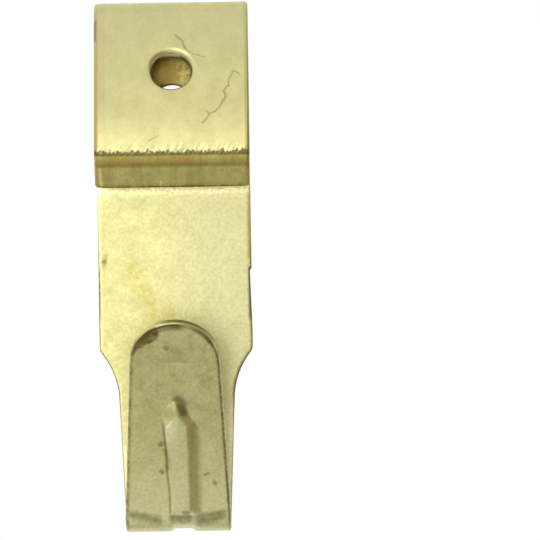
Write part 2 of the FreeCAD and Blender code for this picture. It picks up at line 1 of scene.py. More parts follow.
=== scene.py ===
"""Picture hook: one blanked, pierced, pressed and folded strip of brass-plated steel."""

import logging
import math
from contextlib import contextmanager
from dataclasses import dataclass
from enum import Enum
from typing import Iterator, Sequence

import bmesh
import bpy
import numpy as np
from mathutils import Matrix, Vector, noise


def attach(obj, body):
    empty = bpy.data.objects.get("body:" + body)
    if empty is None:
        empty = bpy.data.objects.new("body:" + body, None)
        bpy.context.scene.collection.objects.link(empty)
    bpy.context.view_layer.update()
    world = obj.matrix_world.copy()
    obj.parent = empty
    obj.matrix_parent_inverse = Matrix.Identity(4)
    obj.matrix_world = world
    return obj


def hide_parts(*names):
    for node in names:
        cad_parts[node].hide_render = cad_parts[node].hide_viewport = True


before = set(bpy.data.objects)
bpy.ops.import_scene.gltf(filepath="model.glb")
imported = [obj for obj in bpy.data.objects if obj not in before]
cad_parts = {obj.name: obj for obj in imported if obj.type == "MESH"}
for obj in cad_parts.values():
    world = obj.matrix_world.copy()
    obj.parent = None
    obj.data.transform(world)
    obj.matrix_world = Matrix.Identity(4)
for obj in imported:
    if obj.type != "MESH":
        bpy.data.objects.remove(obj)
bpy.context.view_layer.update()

LOG = logging.getLogger("picture_hook")

# One millimetre in the scene's metres.
MM = 0.001
# Smallest length and bend that count, in millimetres.
TINY = 1e-6
# Heights on the flat blank that differ by less than this are level, in millimetres.
LEVEL = 1e-4
# Faces of the flat blank whose normal rises less than this are walls.
WALL_RISE = 0.5

Point = tuple[float, float]
Place = tuple[float, float, float]
Piece = bpy.types.Object
Tree = bpy.types.NodeTree
Socket = bpy.types.NodeSocket


class Side(Enum):
    """The two faces of the sheet, by the sign of their offset from its middle."""

    PUNCH = 1.0
    DIE = -1.0


class Cut(Enum):
    """Directions square to which the flat blank is cut into a grid."""

    WIDTH = Vector((1.0, 0.0, 0.0))
    LENGTH = Vector((0.0, 1.0, 0.0))


def choose(piece: Piece) -> None:
    """Make one piece the only selected and the active one.

    Args:
        piece: The piece to choose.
    """
    bpy.ops.object.select_all(action="DESELECT")
    piece.select_set(True)
    bpy.context.view_layer.objects.active = piece


@contextmanager
def editing(piece: Piece) -> Iterator[bmesh.types.BMesh]:
    """Edit mode on one piece alone, with nothing selected.

    Args:
        piece: The mesh object to edit.

    Returns:
        Its edit mesh, for selecting by place.
    """
    choose(piece)
    bpy.ops.object.mode_set(mode="EDIT")
    bpy.ops.mesh.select_mode(type="EDGE")
    bpy.ops.mesh.select_all(action="DESELECT")
    yield bmesh.from_edit_mesh(piece.data)
    bpy.ops.object.mode_set(mode="OBJECT")


def ease(value: np.ndarray, low: float, high: float) -> np.ndarray:
    """Smooth step from 0 at low to 1 at high, falling where high is the smaller."""
    share = np.clip((value - low) / (high - low), 0.0, 1.0)
    return share * share * (3.0 - 2.0 * share)


def soft_least(first: np.ndarray, second: np.ndarray, blend: float) -> np.ndarray:
    """Lesser of two heights, with the crease between them rounded."""
    mix = np.clip(0.5 + 0.5 * (second - first) / blend, 0.0, 1.0)
    return second + (first - second) * mix - blend * mix * (1.0 - mix)


def grain(spots: np.ndarray, size: float, depth: int = 2) -> np.ndarray:
    """Smooth random heights between about -1 and 1, for lumps of a size at points in millimetres."""
    return np.array([noise.fractal(Vector(spot) / size, 1.0, 2.0, depth) for spot in spots])


def arc(centre: Point, radius: float, first: float, last: float, steps: int) -> list[Point]:
    """Points of an arc from a first to a last angle in radians, both of them included."""
    angles = [first + (last - first) * step / steps for step in range(steps + 1)]
    return [(centre[0] + radius * math.cos(angle), centre[1] + radius * math.sin(angle)) for angle in angles]


@dataclass(frozen=True)
class Run:
    """One run of the fold line: its length, and how far it turns right in degrees."""

    length: float
    turn: float = 0.0


class FoldLine:
    """Middle line of the folded sheet in the upright plane square to the wall, in millimetres."""

    def __init__(self, runs: Sequence[Run], heading: float, known_run: int, known: Point) -> None:
        """Chain the runs, and move them so that one of them starts at a known point.

        Args:
            runs: The runs from the lip's free end to the tongue's tip.
            heading: First direction, in degrees from upright towards the wall.
            known_run: Number of the run whose start is known.
            known: That start, as depth and height.
        """
        turns = np.radians([run.turn for run in runs])
        lengths = np.array([run.length for run in runs])
        self.starts = np.concatenate([[0.0], np.cumsum(lengths)])
        self.bend = turns / lengths
        self.heading = math.radians(heading) + np.concatenate([[0.0], np.cumsum(turns)[:-1]])
        self.spots = np.zeros((len(runs), 2))
        for run in range(1, len(runs)):
            before = np.array([run - 1])
            self.spots[run] = self.middle(self.starts[run:run + 1], before)[0]
        self.spots += np.array(known) - self.spots[known_run]

    def run_of(self, along: np.ndarray) -> np.ndarray:
        """Number of the run that holds each length along the line."""
        return np.clip(np.searchsorted(self.starts, along, side="right") - 1, 0, len(self.bend) - 1)

    def turned(self, along: np.ndarray, run: np.ndarray) -> np.ndarray:
        """Heading at each length along the line, in radians."""
        return self.heading[run] + self.bend[run] * (along - self.starts[run])

    def middle(self, along: np.ndarray, run: np.ndarray) -> np.ndarray:
        """Points of the middle line.

        Args:
            along: Lengths along the line.
            run: Number of the run that holds each of them.

        Returns:
            An array with a row of depth and height for each length.
        """
        gone = along - self.starts[run]
        first = self.heading[run]
        last = self.turned(along, run)
        is_arc = np.abs(self.bend[run]) > TINY
        bend = np.where(is_arc, self.bend[run], 1.0)
        straight = np.stack([np.sin(first) * gone, np.cos(first) * gone], axis=1)
        curved = np.stack([np.cos(first) - np.cos(last), np.sin(last) - np.sin(first)], axis=1)
        return self.spots[run] + np.where(is_arc[:, None], curved / bend[:, None], straight)

    def fold(self, along: np.ndarray, out: np.ndarray) -> np.ndarray:
        """Points of the folded sheet.

        Args:
            along: Lengths along the strip.
            out: Offsets from its middle towards the punch side.

        Returns:
            An array with a row of depth and height for each point.
        """
        run = self.run_of(along)
        facing = self.turned(along, run)
        outward = np.stack([-np.cos(facing), np.sin(facing)], axis=1)
        return self.middle(along, run) + outward * out[:, None]


@dataclass(frozen=True)
class Rib:
    """Rib pressed up in the tongue: sizes in millimetres, and heights as shares of the full one."""

    top: float = 11.2
    foot: float = 1.35
    height: float = 0.5
    crest: float = 1.9
    narrowing: float = 0.02
    offset: float = -0.05
    slant: float = 0.033
    sway: float = 0.03
    sway_rate: float = 1.7
    left_flank: float = 0.3
    right_flank: float = 1.25
    foot_slope: float = 0.5
    flank_blend: float = 0.35
    foot_blend: float = 0.4
    # The nose: its length, and the crest's height there, that grows to full over some noses' length.
    nose: float = 1.4
    nose_share: float = 0.8
    nose_reach: float = 2.3
    # The crest is slightly round, and highest a little left of its middle.
    crest_fall: float = 0.05
    crest_top: float = -0.3
    # The nose's own end is a dome that goes on as a ridge, with a facet down each side.
    dome_share: float = 0.84
    dome_power: float = 0.75
    ridge_start: float = 0.8
    ridge_slope: float = 0.95
    ridge_blend: float = 0.6
    facet_slope: float = 0.89
    facet_round: float = 0.22
    facet_rise: float = 0.12
    facet_blend: float = 0.22

    def share(self, across: np.ndarray, down: np.ndarray, up: np.ndarray) -> np.ndarray:
        """Heights over the tongue's front, as shares of the rib's full height.

        Args:
            across: Places across the strip.
            down: Their distances along the strip below the nose's top.
            up: Their distances along the strip above the foot.

        Returns:
            The shares, 0 beside the rib.
        """
        aside = across - self.offset - self.slant * down - self.sway * np.sin(self.sway_rate * down)
        half = self.crest / 2 - self.narrowing * down
        grown = ease(down, self.nose, self.nose_reach * self.nose)
        crest = self.nose_share + (1 - self.nose_share) * grown
        crest -= self.crest_fall * ((aside - self.crest_top) / half) ** 2
        dome = self.dome_share * (1 - np.clip(1 - down / self.nose, 0, 1) ** 2) ** self.dome_power
        past = np.clip(down - self.ridge_start * self.nose, 0, None)
        ridge = dome + self.ridge_slope * (np.hypot(past, self.ridge_blend) - self.ridge_blend)
        facet = ridge - self.facet_slope * (np.hypot(aside, self.facet_round) - self.facet_rise)
        left = (aside + half + self.left_flank) / self.left_flank
        lee = (aside - half) / self.right_flank
        right = np.clip(1 - lee, 0, 1) ** 2 + 2 * np.clip(-lee, 0, None)
        height = soft_least(crest, facet, self.facet_blend)
        height = soft_least(height, left, self.flank_blend)
        height = soft_least(height, right, self.flank_blend)
        height = soft_least(height, up / self.foot_slope, self.foot_blend)
        return np.where(down > 0, np.clip(height, 0, None), 0.0)


@dataclass(frozen=True)
class Relief:
    """Fine relief left by pressing, bending and use, in millimetres on the flat blank.

    A pair of places holds where a form is nothing and where it is full.
    """

    # Share of half the thickness from which a face takes all of its relief.
    face_share: float = 0.8
    # The rib's hollow on the die side, narrower and shallower than the rib.
    hollow_narrow: float = 1.35
    hollow_loss: float = 0.1
    # Stretched skin of the leaf's tight bend, lumpy as orange peel.
    peel_start: Point = (2.85, 3.02)
    peel_end: Point = (3.9, 3.3)
    peel_depth: float = 0.024
    peel_size: float = 0.3
    peel_slant: float = 0.9
    peel_squash: float = 0.5
    # Crease that the forming tool leaves across the lip.
    crease_along: float = 2.16
    crease_width: float = 0.13
    crease_depth: float = 0.03
    # Shallow grooves beside the rib's foot, where the tongue was bent up over the die's edge.
    groove_along: float = 63.1
    groove_across: float = 0.1
    groove_rake: float = 0.16
    groove_width: float = 0.17
    groove_gap: Point = (1.25, 1.7)
    groove_depth: float = 0.03
    # The left edge of leaf and lip, drawn down further than the right one.
    droop_width: float = 0.95
    droop_fade: float = 1.0
    droop_depth: float = 0.16
    # The tip's rim, drawn down by the blanking punch.
    draw_width: float = 0.7
    draw_along: Point = (78.5, 80.5)
    draw_depth: float = 0.2
    # Dip under the hook bend, where the rib's pressing draws the sheet in.
    dip_across: float = 0.42
    dip_half: Point = (1.15, 0.66)
    dip_reach: Point = (1.3, 0.5)
    dip_depth: float = 0.25


@dataclass
class HookStrip:
    """The folded strip: its sizes in millimetres and degrees, and how it is made."""

    width: float = 13.0
    thickness: float = 1.1
    top: float = 8.66
    bottom: float = -36.18
    fold_radius: float = 0.5
    leaf_slope: float = 24.0
    leaf_length: float = 8.5
    crown_radius: float = 18.0
    crown_turn: float = 12.0
    lip_radius: float = 0.7
    lip_tuck: float = 30.0
    lip_length: float = 2.5
    lip_corner: float = 0.28
    shoulder: float = -20.84
    shoulder_corner: float = 0.4
    neck_top: float = -24.85
    neck_width: float = 9.8
    neck_taper: float = 2.4
    hook_radius: float = 0.5
    root_tilt: float = 15.0
    tip_tilt: float = 32.0
    tongue_rise: float = 18.06
    tongue_taper: float = 2.8
    hole_radius: float = 1.68
    leaf_hole: float = 2.83
    hole_roll: float = 0.46
    edge_roll: float = 0.28
    burr_break: float = 0.06
    trim_start: float = -13.9
    trim_run: float = 0.25
    trim_end: float = -19.1
    trim_step: float = 0.15
    rib: Rib = Rib()
    relief: Relief = Relief()
    # Steps of the outline's curves, of the holes and of the rolled rims.
    corner_steps: int = 6
    hollow_steps: int = 32
    knee_steps: int = 6
    hook_steps: int = 8
    tongue_steps: int = 9
    tip_steps: int = 36
    hole_steps: int = 72
    edge_roll_steps: int = 5
    hole_roll_steps: int = 8
    burr_steps: int = 2
    # Steps of the grid along the strip: close where it bends, wider where it is flat.
    lip_step: float = 0.15
    bend_step: float = 0.07
    leaf_step: float = 0.3
    plate_step: float = 0.4
    tongue_step: float = 0.14
    # Lines of the grid along the strip, as first, end and step, and their gaps from its edges.
    wide_lines: Place = (-5.4, 5.5, 0.36)
    peel_lines: Place = (-6.1, 6.15, 0.08)
    rib_lines: Place = (-1.5, 2.3, 0.07)
    edge_gaps: tuple[float, ...] = (0.34, 0.45, 0.6, 0.75, 0.9)
    # Edges that turn more than this stay sharp.
    smooth_angle: float = 50.0

    def __post_init__(self) -> None:
        """Work out the fold line and the places on it that the other methods use."""
        half = self.thickness / 2
        outer = self.hook_radius + self.thickness
        tilt = math.radians((self.root_tilt + self.tip_tilt) / 2)
        turn = math.radians(self.tip_tilt - self.root_tilt)
        self.root = math.radians(self.root_tilt)
        self.root_rise = outer * (1 - math.sin(self.root))
        rise = self.tongue_rise - self.root_rise - self.thickness * math.sin(tilt)
        self.chord = rise / math.cos(tilt)
        self.tongue_radius = self.chord / 2 / math.sin(turn / 2) + half
        self.front_radius = self.tongue_radius - half
        self.tongue_turn = turn
        lip_turn = self.leaf_slope - self.crown_turn + self.lip_tuck
        fold_turn = 180 - self.leaf_slope
        hook_turn = 180 - self.root_tilt
        self.plate_top = self.top - self.fold_radius - self.thickness
        self.plate_foot = self.bottom + outer
        runs = [
            Run(self.lip_length),
            Run((self.lip_radius + half) * math.radians(lip_turn), lip_turn),
            Run(self.crown_radius * math.radians(self.crown_turn), self.crown_turn),
            Run(self.leaf_length),
            Run((self.fold_radius + half) * math.radians(fold_turn), fold_turn),
            Run(self.plate_top - self.plate_foot),
            Run((self.hook_radius + half) * math.radians(hook_turn), hook_turn),
            Run(self.tongue_radius * turn, self.root_tilt - self.tip_tilt),
        ]
        plate_run = 5
        self.line = FoldLine(runs, -self.lip_tuck, plate_run, (-half, self.plate_top))
        _, self.lip_bend, self.crown, self.leaf, self.fold, self.plate, self.hook, self.tongue, self.tip = (
            self.line.starts
        )
        self.entry_place = self.on_leaf(self.leaf_hole)
        self.exit_place = self.on_plate(0.0)
        self.nose_place = self.rib_place(self.rib.top)
        self.foot_place = self.rib_place(self.rib.foot)

    def on_plate(self, height: float) -> float:
        """Length along the strip of a height on the back plate."""
        return self.plate + self.plate_top - height

    def on_tongue(self, chord: float) -> float:
        """Length along the strip of a length along the tongue's chord."""
        turn, radius = self.tongue_turn / 2, self.tongue_radius
        return self.tongue + radius * (turn - math.asin(math.sin(turn) - chord / radius))

    def on_leaf(self, height: float) -> float:
        """Length along the strip of a height on the leaf's front."""
        foot = self.line.fold(np.array([self.leaf]), np.array([self.thickness / 2]))[0]
        return self.leaf + (height - foot[1]) / math.cos(math.radians(self.leaf_slope))

    def rib_place(self, rise: float) -> float:
        """Length along the strip of a rise on the tongue's front above the hook's lowest point."""
        lean = math.asin(math.sin(self.root) + (rise - self.root_rise) / self.front_radius)
        return self.tongue + self.tongue_radius * (lean - self.root)

    def neck_half(self, height: float) -> float:
        """Half the neck's width at a height."""
        return self.neck_width / 2 - math.tan(math.radians(self.neck_taper)) * (self.neck_top - height)

    def lip_side(self) -> list[Point]:
        """Rounded corner of the lip's free end, as half widths and lengths."""
        radius = self.lip_corner
        return arc((self.width / 2 - radius, radius), radius, -math.pi / 2, 0.0, self.corner_steps)

    def trim_side(self) -> list[Point]:
        """Small step of the second trimming cut, as half widths and lengths."""
        gaps = {self.trim_start: 0.0, self.trim_start - self.trim_run: self.trim_step, self.trim_end: 0.0}
        return [(self.width / 2 - gap, self.on_plate(height)) for height, gap in gaps.items()]

    def neck_side(self) -> list[Point]:
        """Shoulder, its hollow curve and the neck down to the hook bend, as half widths and lengths.

        Returns:
            The side's points.
        """
        half, neck = self.width / 2, self.neck_width / 2
        taper = math.radians(self.neck_taper)
        across, down = half - neck, self.shoulder - self.neck_top
        radius = (across**2 + down**2) / 2 / (across * math.cos(taper) - down * math.sin(taper))
        centre = (neck + radius * math.cos(taper), self.neck_top - radius * math.sin(taper))
        first = math.atan2(self.shoulder - centre[1], half - centre[0])
        hollow = arc(centre, radius, first, math.pi - taper, self.hollow_steps)
        begin = np.array((half, self.shoulder + self.shoulder_corner))
        knee = np.array((half, self.shoulder))
        rest = [spot for spot in hollow if math.dist(spot, knee) > self.shoulder_corner]
        finish = np.array(rest[0])
        points = []
        for step in range(self.knee_steps):
            part = step / self.knee_steps
            spot = begin * (1 - part) ** 2 + knee * 2 * part * (1 - part) + finish * part**2
            points.append((spot[0], self.on_plate(spot[1])))
        points += [(spot[0], self.on_plate(spot[1])) for spot in rest]
        for step in range(self.hook_steps + 1):
            along = self.hook + (self.tongue - self.hook) * step / self.hook_steps
            height = self.line.fold(np.array([along]), np.zeros(1))[0][1]
            points.append((self.neck_half(height), along))
        return points

    def tongue_side(self) -> list[Point]:
        """Tapered side of the tongue and half of its round tip, as half widths and lengths.

        Returns:
            The side's points, the tip's top left out.
        """
        root = self.neck_half(self.bottom + self.root_rise)
        lean = math.radians(self.tongue_taper)
        tip = (root * math.cos(lean) - self.chord * math.sin(lean)) / (1 - math.sin(lean))
        end = self.chord - tip + tip * math.sin(lean)
        chords = [end * step / self.tongue_steps for step in range(1, self.tongue_steps)]
        side = [(root - math.tan(lean) * chord, chord) for chord in chords]
        side += arc((0.0, self.chord - tip), tip, lean, math.pi / 2, self.tip_steps)[:-1]
        return [(across, self.on_tongue(chord)) for across, chord in side]

    def outline(self) -> np.ndarray:
        """Closed outline of the flat blank.

        Returns:
            An array with a row of width and length for each point.
        """
        head, foot = self.lip_side(), self.neck_side() + self.tongue_side()
        left = [(-across, along) for across, along in reversed(head + foot)]
        top = (0.0, self.on_tongue(self.chord))
        return np.array(head + self.trim_side() + foot + [top] + left)

    def blank(self) -> Piece:
        """Flat blank with its thickness, laid out in millimetres with the punch side up.

        Returns:
            The blank, without its holes.
        """
        outline = self.outline()
        bpy.ops.object.select_all(action="DESELECT")
        bpy.ops.mesh.primitive_circle_add(vertices=len(outline), fill_type="NGON")
        piece = bpy.context.active_object
        piece.name = piece.data.name = "hook_strip"
        height = np.full((len(outline), 1), self.thickness / 2)
        piece.data.vertices.foreach_set("co", np.hstack([outline, height]).ravel())
        with editing(piece):
            bpy.ops.mesh.select_all(action="SELECT")
            bpy.ops.mesh.extrude_region_move(TRANSFORM_OT_translate={"value": (0, 0, -self.thickness)})
            bpy.ops.mesh.select_all(action="SELECT")
            bpy.ops.mesh.normals_make_consistent(inside=False)
        return piece

    def pierce(self, piece: Piece) -> None:
        """Punch the two nail holes through the flat blank.

        Args:
            piece: The flat blank.
        """
        for along in (self.entry_place, self.exit_place):
            bpy.ops.object.select_all(action="DESELECT")
            bpy.ops.mesh.primitive_cylinder_add(
                vertices=self.hole_steps, radius=self.hole_radius,
                depth=3 * self.thickness, location=(0, along, 0),
            )
            punch = bpy.context.active_object
            choose(piece)
            cut = piece.modifiers.new("pierce", "BOOLEAN")
            cut.operation, cut.solver, cut.object = "DIFFERENCE", "EXACT", punch
            bpy.ops.object.modifier_apply(modifier=cut.name)
            bpy.data.objects.remove(punch)

    def near(self, edge: bmesh.types.BMEdge, along: float) -> bool:
        """Whether an edge of the flat blank lies on the rim of the hole at a length along it."""
        middle = (edge.verts[0].co + edge.verts[1].co) / 2
        return (middle.xy - Vector((0, along))).length < self.hole_radius + self.burr_break

    def roll(self, piece: Piece) -> None:
        """Round the rims: a wide roll on the punch side, and only a broken burr on the die side.

        Args:
            piece: The flat blank with its holes.
        """
        entry, leave = self.entry_place, self.exit_place
        rims = [
            (Side.PUNCH, self.edge_roll, self.edge_roll_steps,
             lambda edge: not self.near(edge, entry) and not self.near(edge, leave)),
            (Side.PUNCH, self.hole_roll, self.hole_roll_steps, lambda edge: self.near(edge, entry)),
            (Side.PUNCH, self.burr_break, self.burr_steps, lambda edge: self.near(edge, leave)),
            (Side.DIE, self.burr_break, self.burr_steps, lambda edge: True),
        ]
        for side, width, steps, chosen in rims:
            level = side.value * self.thickness / 2
            with editing(piece) as mesh:
                for edge in mesh.edges:
                    flat = all(abs(vert.co.z - level) < LEVEL for vert in edge.verts)
                    walls = [face for face in edge.link_faces if abs(face.normal.z) < WALL_RISE]
                    edge.select_set(bool(flat and len(walls) == 1 and chosen(edge)))
                bpy.ops.mesh.bevel(offset=width, segments=steps, affect="EDGES", clamp_overlap=False)

    def cut_grid(self, piece: Piece) -> None:
        """Cut the flat faces into a grid, close where the sheet bends or is pressed.

        Args:
            piece: The flat blank with its rims rolled.
        """
        bend_start, bend_end, peel_end = self.lip_bend - 0.3, self.crown + 1.2, self.crown + 0.5
        rib_start, rib_end = self.tongue - 2.6, self.nose_place + 0.3
        first, last = 0.25, self.tip - 0.3
        length = [self.hook, self.tongue]
        for start, end, step in [
            (first, bend_start, self.lip_step),
            (bend_start, bend_end, self.bend_step),
            (bend_end, self.fold, self.leaf_step),
            (self.fold, self.plate, self.bend_step),
            (self.plate, self.hook, self.plate_step),
            (self.hook, self.tongue, self.bend_step),
            (self.tongue, last, self.tongue_step),
        ]:
            length += list(np.arange(start, end, step))
        self.slice(piece, Cut.LENGTH, length)
        edges = [self.width / 2 - gap for gap in self.edge_gaps]
        self.slice(piece, Cut.WIDTH, list(np.arange(*self.wide_lines)) + edges + [-edge for edge in edges])
        self.slice(piece, Cut.WIDTH, np.arange(*self.peel_lines), (bend_start, peel_end))
        self.slice(piece, Cut.WIDTH, np.arange(*self.rib_lines), (rib_start, rib_end))

    def slice(self, piece: Piece, cut: Cut, stations: Sequence[float], reach: Point | None = None) -> None:
        """Cut faces along straight lines across or along the blank.

        Args:
            piece: The flat blank.
            cut: Direction square to the lines.
            stations: Places of the lines.
            reach: Lengths between which the punch side's faces are cut, or the whole blank.
        """
        punch_level = 0.3 * self.thickness
        with editing(piece) as mesh:
            bpy.ops.mesh.select_mode(type="FACE")
            if reach:
                for face in mesh.faces:
                    middle = face.calc_center_median()
                    face.select_set(bool(middle.z > punch_level and reach[0] < middle.y < reach[1]))
                bpy.ops.mesh.hide(unselected=True)
            for station in stations:
                bpy.ops.mesh.select_all(action="SELECT")
                bpy.ops.mesh.bisect(plane_co=cut.value * station, plane_no=cut.value)
            bpy.ops.mesh.reveal(select=False)

    def rib_share(self, across: np.ndarray, along: np.ndarray) -> np.ndarray:
        """Rib's height at places on the flat blank, as a share of its full height."""
        return self.rib.share(across, self.nose_place - along, along - self.foot_place)

    def press(self, flat: np.ndarray, rim: np.ndarray) -> np.ndarray:
        """Offsets that pressing, bending and use give the flat blank's points.

        Args:
            flat: Points of the blank as across, along and out, in millimetres.
            rim: Their distances from the blank's outline.

        Returns:
            The same points with their pressed offsets.
        """
        across, along, out = flat.T
        form, full = self.relief, self.rib.height
        face = form.face_share * self.thickness / 2
        on_punch = ease(out, 0.0, face)
        on_die = ease(out, 0.0, -face)
        pressed = flat.copy()
        pressed[:, 2] += on_punch * full * self.rib_share(across, along)
        hollow = full * self.rib_share(across * form.hollow_narrow, along) - form.hollow_loss
        pressed[:, 2] += on_die * np.clip(hollow, 0, None)

        peel = ease(along, *form.peel_start) * ease(along, *form.peel_end) * on_punch
        lumpy = peel > 0
        slanted = np.column_stack([across - form.peel_slant * along, form.peel_squash * along, 0 * along])
        pressed[lumpy, 2] += form.peel_depth * peel[lumpy] * grain(slanted[lumpy], form.peel_size)

        crease = np.exp(-(((along - form.crease_along) / form.crease_width) ** 2))
        pressed[:, 2] -= form.crease_depth * crease * on_punch

        aside = np.abs(across - form.groove_across)
        foot = form.groove_along + form.groove_rake * aside
        groove = np.exp(-(((along - foot) / form.groove_width) ** 2)) * ease(aside, *form.groove_gap)
        pressed[:, 2] -= form.groove_depth * groove * on_punch

        inward = across + self.width / 2
        droop = np.clip(1 - inward / form.droop_width, 0, 1) ** 2
        droop *= ease(along, self.plate - form.droop_fade, self.fold)
        pressed[:, 2] -= form.droop_depth * droop * on_punch

        drawn = np.clip(1 - rim / form.draw_width, 0, 1) ** 2 * ease(along, *form.draw_along)
        pressed[:, 2] -= form.draw_depth * drawn * on_punch

        away = np.abs(along - (self.hook + self.tongue) / 2)
        dip = ease(np.abs(across - form.dip_across), *form.dip_half) * ease(away, *form.dip_reach)
        pressed[:, 2] -= form.dip_depth * dip * on_punch
        return pressed

    def build(self) -> Piece:
        """Blank, pierce, roll, press and fold the strip.

        Returns:
            The finished strip, in metres in the part's own frame.
        """
        piece = self.blank()
        self.pierce(piece)
        self.roll(piece)
        self.cut_grid(piece)
        mesh = piece.data
        flat = np.empty(len(mesh.vertices) * 3)
        mesh.vertices.foreach_get("co", flat)
        flat = flat.reshape(-1, 3)
        rim = self.rim(flat)
        pressed = self.press(flat, rim)
        folded = self.line.fold(pressed[:, 1], pressed[:, 2])
        places = np.column_stack([pressed[:, 0], folded]) * MM
        mesh.vertices.foreach_set("co", places.ravel())
        rise = self.rib_share(flat[:, 0], flat[:, 1])
        for name, values in (("blank", flat), ("rim", rim), ("rib", rise)):
            kind, field = ("FLOAT_VECTOR", "vector") if values.ndim == 2 else ("FLOAT", "value")
            layer = mesh.attributes.new(name, kind, "POINT")
            layer.data.foreach_set(field, values.ravel())
        mesh.update()
        choose(piece)
        bpy.ops.object.shade_smooth_by_angle(angle=math.radians(self.smooth_angle))
        return piece

    def rim(self, flat: np.ndarray) -> np.ndarray:
        """Distances from the blank's outline.

        Args:
            flat: Points of the blank as across, along and out.

        Returns:
            One distance for each point, in millimetres.
        """
        outline = self.outline()
        ends = np.roll(outline, -1, axis=0)
        nearest = np.full(len(flat), np.inf)
        for start, end in zip(outline, ends):
            run = end - start
            share = np.clip((flat[:, :2] - start) @ run / max(run @ run, TINY), 0, 1)
            gap = np.linalg.norm(flat[:, :2] - start - share[:, None] * run, axis=1)
            nearest = np.minimum(nearest, gap)
        return nearest


def linear(colour: str) -> tuple[float, ...]:
    """Linear red, green, blue and full alpha of an sRGB hex value."""
    channels = [int(colour[place:place + 2], 16) / 255 for place in (1, 3, 5)]
    return (*(c / 12.92 if c <= 0.04045 else ((c + 0.055) / 1.055) ** 2.4 for c in channels), 1.0)


def node(
    tree: Tree, kind: str, settings: dict | None = None, take: int | str = 0, **inputs: object
) -> Socket | None:
    """Add one node, with its settings, and set or link its inputs.

    Args:
        tree: Node tree to add it to.
        kind: Blender's name of the node, after ShaderNode.
        settings: Properties of the node.
        take: Number or name of the output to hand back.
        inputs: Input values or output sockets, by the input's name, or by its number after an underscore.

    Returns:
        The output, or nothing from a node that has none.
    """
    made = tree.nodes.new("ShaderNode" + kind)
    for name, value in (settings or {}).items():
        setattr(made, name, value)
    for name, value in inputs.items():
        key = int(name[1:]) if name.startswith("_") else name.replace("_", " ")
        if isinstance(value, Socket):
            tree.links.new(value, made.inputs[key])
        else:
            made.inputs[key].default_value = value
    return made.outputs[take] if made.outputs else None


class Field(Enum):
    """What a fade can read off the sheet, in millimetres on the flat blank."""

    ACROSS = "place across the strip"
    ALONG = "place along the strip"
    OUT = "offset from the sheet's middle"
    RIM = "distance from the blank's outline"
    RIB = "share of the rib's full height"
    HOLE = "distance from the middle of the leaf's hole"
    TOOTH = "place along the strip, made jagged by slanting lumps"

    def __call__(self, low: float, high: float) -> "Fade":
        """Fade over this field, from 0 at low to 1 at high."""
        return Fade(self, low, high)


@dataclass(frozen=True)
class Cloud:
    """Cloudy heights from 0 to 1: a lump's width, finer layers, turn in degrees, and length over width."""

    size: float
    detail: float = 2.0
    turn: float = 0.0
    stretch: float = 1.0


@dataclass(frozen=True)
class Mark:
    """A line of spots, or one spot, on one face of the sheet, with its half width in millimetres."""

    spots: tuple[Point, ...]
    width: float
    side: Side = Side.PUNCH


@dataclass(frozen=True)
class Fade:
    """Smooth change from the floor at low to 1 at high, over a field, a cloud or the distance from marks."""

    source: Field | Cloud | tuple[Mark, ...]
    low: float
    high: float
    floor: float = 0.0


@dataclass(frozen=True)
class Tint:
    """Colour that comes in, with its full strength, where all of its fades meet."""

    colour: str
    strength: float
    fades: tuple[Fade, ...]


def band(source: Field, low: float, high: float, soft: float) -> tuple[Fade, Fade]:
    """Fades that are 1 together between two limits, and 0 past a soft border."""
    return source(low - soft, low), source(high + soft, high)


ACROSS, ALONG, OUT, RIM, RIB, HOLE, TOOTH = Field

# Parts of the sheet, and patterns that several tints share.
PUNCH = OUT(-0.1, 0.1)
DIE = OUT(0.1, -0.1)
ON_LIP = (PUNCH, ALONG(3.04, 2.94))
ON_LEAF = (PUNCH, ALONG(17.0, 15.5))
ON_TONGUE = (OUT(-0.5, -0.4), ALONG(60.0, 62.0))
BELOW_TIP = (*ON_TONGUE, ALONG(80.3, 79.5))
AT_TIP = (*ON_TONGUE, ALONG(79.0, 80.0))
IN_HOLE = (HOLE(1.9, 1.75), OUT(-0.5, -0.3))
IN_LOOP = (DIE, ALONG(5.0, 6.0), ALONG(29.5, 25.2))
BELOW_LOOP = (DIE, ALONG(28.5, 30.5))
ON_NECK = (DIE, ALONG(50.0, 54.0))
SPECKS = Fade(Cloud(0.35), 0.42, 0.62)
FLECKS = Fade(Cloud(0.22, 3.0), 0.3, 0.75)
TEETH = Fade(Cloud(0.28, 3.0, -45.0, 1.5), 0.35, 0.68)
BLOTCHES = Cloud(0.6, 4.0)

